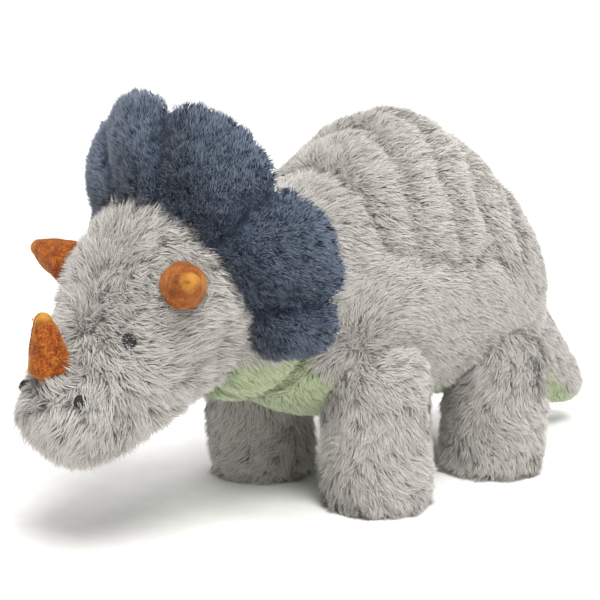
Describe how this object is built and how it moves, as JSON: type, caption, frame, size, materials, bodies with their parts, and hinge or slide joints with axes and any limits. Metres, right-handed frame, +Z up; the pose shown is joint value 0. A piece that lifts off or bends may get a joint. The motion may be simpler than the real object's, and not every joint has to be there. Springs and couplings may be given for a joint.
{
  "type": "stuffed dinosaur",
  "caption": "Plush horned dinosaur on stubby legs: padded body, turning neck, nodding head with quilted scalloped frill and velour horns, swinging legs and a wagging tail.",
  "frame": {"origin": "on the ground under the centre of the toy's bounding box", "axes": "+X the dinosaur's left side, -Y where the nose points, +Y where the tail points, +Z up"},
  "size_m": [0.2067, 0.4753, 0.2562],
  "materials": {
    "grey_long_pile_plush": "long soft clumped pile, matte",
    "slate_blue_plush": "dense short pile, quilted, matte",
    "sage_green_plush": "short pile, matte",
    "ochre_velour": "very short velour pile, slightly crushed",
    "polyester_fibre": "loose white fibre filling",
    "black_thread": "satin-stitched thread, matte"
  },
  "bodies": {
    "torso": {"torso_side_left": "grey_long_pile_plush", "torso_side_right": "grey_long_pile_plush", "belly_panel": "sage_green_plush", "torso_filling": "polyester_fibre"},
    "neck": {"neck_cover": "grey_long_pile_plush", "throat_panel": "sage_green_plush", "neck_filling": "polyester_fibre"},
    "head": {"head_side_left": "grey_long_pile_plush", "head_side_right": "grey_long_pile_plush", "chin_panel": "grey_long_pile_plush", "head_filling": "polyester_fibre", "frill_front_panel": "slate_blue_plush", "frill_back_panel": "slate_blue_plush", "frill_filling_1": "polyester_fibre", "frill_filling_2": "polyester_fibre", "frill_filling_3": "polyester_fibre", "frill_filling_4": "polyester_fibre", "frill_filling_5": "polyester_fibre", "frill_filling_6": "polyester_fibre", "frill_filling_7": "polyester_fibre", "brow_horn_left_cover": "ochre_velour", "brow_horn_left_filling": "polyester_fibre", "brow_horn_right_cover": "ochre_velour", "brow_horn_right_filling": "polyester_fibre", "nose_horn_cover": "ochre_velour", "nose_horn_filling": "polyester_fibre", "eye_left": "black_thread", "eye_right": "black_thread", "nostril_left": "black_thread", "nostril_right": "black_thread"},
    "leg_front_left": {"leg_front_left_cover": "grey_long_pile_plush", "leg_front_left_sole": "grey_long_pile_plush", "leg_front_left_filling": "polyester_fibre"},
    "leg_front_right": {"leg_front_right_cover": "grey_long_pile_plush", "leg_front_right_sole": "grey_long_pile_plush", "leg_front_right_filling": "polyester_fibre"},
    "leg_hind_left": {"leg_hind_left_cover": "grey_long_pile_plush", "leg_hind_left_sole": "grey_long_pile_plush", "leg_hind_left_filling": "polyester_fibre"},
    "leg_hind_right": {"leg_hind_right_cover": "grey_long_pile_plush", "leg_hind_right_sole": "grey_long_pile_plush", "leg_hind_right_filling": "polyester_fibre"},
    "tail": {"tail_cover": "grey_long_pile_plush", "tail_underside": "sage_green_plush", "tail_filling": "polyester_fibre"}
  },
  "joints": [
    {"name": "neck_turn", "type": "hinge", "parent": "torso", "child": "neck", "pos_m": [0, -0.0957, 0.125], "axis": [0, 0, 1], "range_deg": [-12, 12], "stiffness_Nm_per_rad": 3},
    {"name": "head_nod", "type": "hinge", "parent": "neck", "child": "head", "pos_m": [0, -0.0957, 0.125], "axis": [1, 0, 0], "range_deg": [-10, 10], "stiffness_Nm_per_rad": 3},
    {"name": "leg_front_left_swing", "type": "hinge", "parent": "torso", "child": "leg_front_left", "pos_m": [0.05, -0.0217, 0.074], "axis": [1, 0, 0], "range_deg": [-10, 10], "stiffness_Nm_per_rad": 2},
    {"name": "leg_front_right_swing", "type": "hinge", "parent": "torso", "child": "leg_front_right", "pos_m": [-0.05, -0.0217, 0.074], "axis": [1, 0, 0], "range_deg": [-10, 10], "stiffness_Nm_per_rad": 2},
    {"name": "leg_hind_left_swing", "type": "hinge", "parent": "torso", "child": "leg_hind_left", "pos_m": [0.05, 0.0893, 0.074], "axis": [1, 0, 0], "range_deg": [-10, 10], "stiffness_Nm_per_rad": 2},
    {"name": "leg_hind_right_swing", "type": "hinge", "parent": "torso", "child": "leg_hind_right", "pos_m": [-0.05, 0.0893, 0.074], "axis": [1, 0, 0], "range_deg": [-10, 10], "stiffness_Nm_per_rad": 2},
    {"name": "tail_wag", "type": "hinge", "parent": "torso", "child": "tail", "pos_m": [0, 0.1313, 0.103], "axis": [0, 0, 1], "range_deg": [-18, 18], "stiffness_Nm_per_rad": 0.5}
  ]
}
